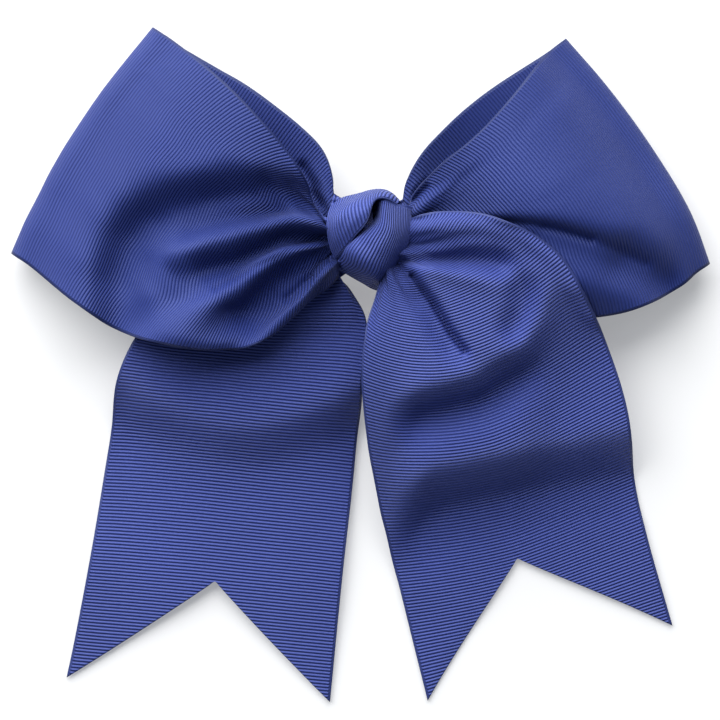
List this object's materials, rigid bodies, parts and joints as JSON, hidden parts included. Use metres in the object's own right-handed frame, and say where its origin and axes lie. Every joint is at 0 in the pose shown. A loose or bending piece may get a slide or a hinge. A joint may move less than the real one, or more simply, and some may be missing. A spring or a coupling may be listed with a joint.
{
  "type": "cheer hair bow",
  "caption": "Wide grosgrain ribbon hair bow: two open loops, two V-cut tails and a knotted centre over a gathered waist, on a sprung alligator clip.",
  "frame": {"origin": "middle of the bow's footprint, on the surface it lies on, face up", "axes": "+Z out of the bow's front, +Y towards the tops of the loops, +X towards the right-hand loop; the bow lies on its back"},
  "size_m": [0.2006, 0.195, 0.0332],
  "materials": {
    "bow_ribbon": "ribbed grosgrain, semi-matt",
    "liner_ribbon": "ribbed grosgrain, semi-matt",
    "thread": "waxed polyester thread",
    "hot_glue": "cloudy set hot glue",
    "clip_steel": "nickel-plated pressed steel"
  },
  "bodies": {
    "bow": {"ribbon_waist": "bow_ribbon", "left_loop": "bow_ribbon", "right_loop": "bow_ribbon", "left_tail_upper": "bow_ribbon", "right_tail_upper": "bow_ribbon", "gathering_thread": "thread", "knot_ribbon": "bow_ribbon", "seam_glue": "hot_glue", "clip_glue": "hot_glue", "clip_liner": "liner_ribbon", "clip_upper_jaw": "clip_steel", "clip_pin": "clip_steel", "clip_spring": "clip_steel", "clip_spring_upper_leg": "clip_steel"},
    "lower_jaw": {"clip_lower_jaw": "clip_steel", "clip_spring_lower_leg": "clip_steel"},
    "left_tail": {"left_tail_lower": "bow_ribbon"},
    "right_tail": {"right_tail_lower": "bow_ribbon"}
  },
  "joints": [
    {"name": "clip_hinge", "type": "hinge", "parent": "bow", "child": "lower_jaw", "pos_m": [-0.0101, 0.03643, 0.00737], "axis": [0, 1, 0], "range_deg": [0, 28], "stiffness_Nm_per_rad": 0.06, "springref_deg": -11.46},
    {"name": "left_tail_hinge", "type": "hinge", "parent": "bow", "child": "left_tail", "pos_m": [-0.03485, -0.00247, 0.00967], "axis": [-0.9947, 0.0726, -0.0726], "range_deg": [0, 60], "stiffness_Nm_per_rad": 0.004},
    {"name": "right_tail_hinge", "type": "hinge", "parent": "bow", "child": "right_tail", "pos_m": [0.0359, 0.00053, 0.01967], "axis": [-0.9853, -0.1553, -0.0706], "range_deg": [0, 60], "stiffness_Nm_per_rad": 0.004}
  ]
}
